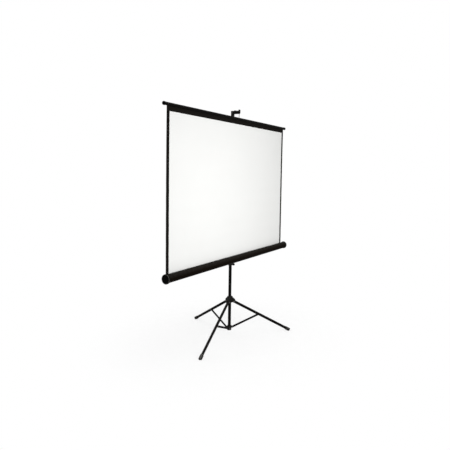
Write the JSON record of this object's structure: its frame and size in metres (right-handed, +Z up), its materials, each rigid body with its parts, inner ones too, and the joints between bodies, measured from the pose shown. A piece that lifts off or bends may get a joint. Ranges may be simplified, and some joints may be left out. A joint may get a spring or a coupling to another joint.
{
  "type": "tripod projection screen",
  "caption": "Portable projection screen on a folding tripod, with a telescopic post, a round spring-roller case and a white black-bordered cloth hung from a hooked top bar.",
  "frame": {"origin": "middle of the footprint on the floor: the middle of the box round the whole part, at its base", "axes": "+Z up the post, +X along the screen, to the right as seen from the front, and +Y away from the viewer; the cloth faces -Y"},
  "size_m": [1.826, 1.0018, 2.0739],
  "materials": {
    "tube_paint": "semi-gloss black enamel",
    "case_paint": "semi-gloss brown-black enamel",
    "brace_steel": "satin dark grey",
    "black_plastic": "moulded, fine texture",
    "cap_plastic": "moulded, satin",
    "rubber_black": "matt",
    "zinc_steel": "bright zinc",
    "screen_white": "matt white coated cloth with black borders",
    "roller_metal": "mill finish",
    "spring_steel": "oiled",
    "plush_black": "short pile"
  },
  "bodies": {
    "stand": {"lower_tube": "tube_paint", "base_plug": "black_plastic", "base_collar": "black_plastic", "collar_pins": "zinc_steel", "clamp_collar": "black_plastic", "clamp_bush": "black_plastic"},
    "lower_knob": {"lower_knob": "black_plastic", "lower_stud": "zinc_steel"},
    "leg_hub": {"leg_hub": "black_plastic", "hub_pins": "zinc_steel"},
    "hub_knob": {"hub_knob": "black_plastic", "hub_stud": "zinc_steel"},
    "leg_1": {"leg_1": "tube_paint", "foot_1": "rubber_black"},
    "leg_2": {"leg_2": "tube_paint", "foot_2": "rubber_black"},
    "leg_3": {"leg_3": "tube_paint", "foot_3": "rubber_black"},
    "brace_1": {"brace_1": "brace_steel", "brace_rivet_1": "zinc_steel"},
    "brace_2": {"brace_2": "brace_steel", "brace_rivet_2": "zinc_steel"},
    "brace_3": {"brace_3": "brace_steel", "brace_rivet_3": "zinc_steel"},
    "mast_guide": {"mast_guide": "black_plastic"},
    "mast": {"mast_tube": "tube_paint", "case_bracket": "black_plastic", "bracket_screws": "zinc_steel", "pivot_bolt": "zinc_steel", "case_hanger": "tube_paint", "hanger_rivets": "zinc_steel", "upper_collar": "black_plastic", "upper_bush": "black_plastic", "case_tube": "case_paint", "case_cap_left": "cap_plastic", "case_cap_right": "cap_plastic", "cap_screws": "zinc_steel", "slot_strips": "plush_black", "spring_shaft": "zinc_steel", "idle_pin": "zinc_steel", "screen_cloth": "screen_white"},
    "upper_knob": {"upper_knob": "black_plastic", "upper_stud": "zinc_steel"},
    "roller": {"roller_tube": "roller_metal", "roller_plug_left": "black_plastic", "roller_plug_right": "black_plastic", "roller_spring": "spring_steel", "cloth_roll": "screen_white"},
    "extension": {"extension_tube": "tube_paint", "extension_guide": "black_plastic", "head_block": "black_plastic", "hook_arm": "tube_paint", "arm_pins": "zinc_steel", "top_bar": "tube_paint", "bar_cap_left": "cap_plastic", "bar_cap_right": "cap_plastic", "bar_batten": "zinc_steel", "pull_loop": "tube_paint"}
  },
  "joints": [
    {"name": "hub_slide", "type": "slide", "parent": "stand", "child": "leg_hub", "axis": [0, 0, 1], "range_m": [0, 0.285]},
    {"name": "leg_1_fold", "type": "hinge", "parent": "leg_hub", "child": "leg_1", "pos_m": [-0.03722, -0.06455, 0.316], "axis": [0.2011, -0.9796, 0], "range_deg": [0, 45.32]},
    {"name": "brace_1_fold", "type": "hinge", "parent": "stand", "child": "brace_1", "pos_m": [-0.0289, -0.06284, 0.07], "axis": [0.2011, -0.9796, 0], "range_deg": [-49.89, 0]},
    {"name": "leg_2_fold", "type": "hinge", "parent": "leg_hub", "child": "leg_2", "pos_m": [0.012, -0.02085, 0.316], "axis": [-0.9489, 0.3156, 0], "range_deg": [0, 45.32]},
    {"name": "brace_2_fold", "type": "hinge", "parent": "stand", "child": "brace_2", "pos_m": [0.00931, -0.02892, 0.07], "axis": [-0.9489, 0.3156, 0], "range_deg": [-49.89, 0]},
    {"name": "leg_3_fold", "type": "hinge", "parent": "leg_hub", "child": "leg_3", "pos_m": [0.02523, -0.08533, 0.316], "axis": [0.7478, 0.6639, 0], "range_deg": [0, 45.32]},
    {"name": "brace_3_fold", "type": "hinge", "parent": "stand", "child": "brace_3", "pos_m": [0.01959, -0.07897, 0.07], "axis": [0.7478, 0.6639, 0], "range_deg": [-49.89, 0]},
    {"name": "mast_slide", "type": "slide", "parent": "stand", "child": "mast_guide", "axis": [0, 0, 1], "range_m": [0, 0.4]},
    {"name": "mast_swivel", "type": "hinge", "parent": "mast_guide", "child": "mast", "pos_m": [0, -0.05691, 0.165], "axis": [0, 0, 1], "continuous": true},
    {"name": "extension_slide", "type": "slide", "parent": "mast", "child": "extension", "axis": [0, 0, 1], "range_m": [-0.62, 0.08], "deforming": ["screen_cloth"]},
    {"name": "roller_spin", "type": "hinge", "parent": "mast", "child": "roller", "pos_m": [0, -0.12691, 0.7265], "axis": [1, 0, 0], "range_deg": [-1620, 210]},
    {"name": "lower_knob_turn", "type": "hinge", "parent": "stand", "child": "lower_knob", "pos_m": [0, -0.08691, 0.668], "axis": [0, -1, 0], "range_deg": [0, 180]},
    {"name": "hub_knob_turn", "type": "hinge", "parent": "leg_hub", "child": "hub_knob", "pos_m": [0.02939, -0.05088, 0.347], "axis": [0.9796, 0.2011, 0], "range_deg": [0, 180]},
    {"name": "upper_knob_turn", "type": "hinge", "parent": "mast", "child": "upper_knob", "pos_m": [0, -0.02691, 1.322], "axis": [0, 1, 0], "range_deg": [0, 180]}
  ],
  "couplings": [
    {"joint": "leg_1_fold", "follows": "hub_slide", "rad_per_m": 2.7751},
    {"joint": "brace_1_fold", "follows": "hub_slide", "rad_per_m": -3.0546},
    {"joint": "leg_2_fold", "follows": "hub_slide", "rad_per_m": 2.7751},
    {"joint": "brace_2_fold", "follows": "hub_slide", "rad_per_m": -3.0546},
    {"joint": "leg_3_fold", "follows": "hub_slide", "rad_per_m": 2.7751},
    {"joint": "brace_3_fold", "follows": "hub_slide", "rad_per_m": -3.0546},
    {"joint": "roller_spin", "follows": "extension_slide", "rad_per_m": 40}
  ]
}
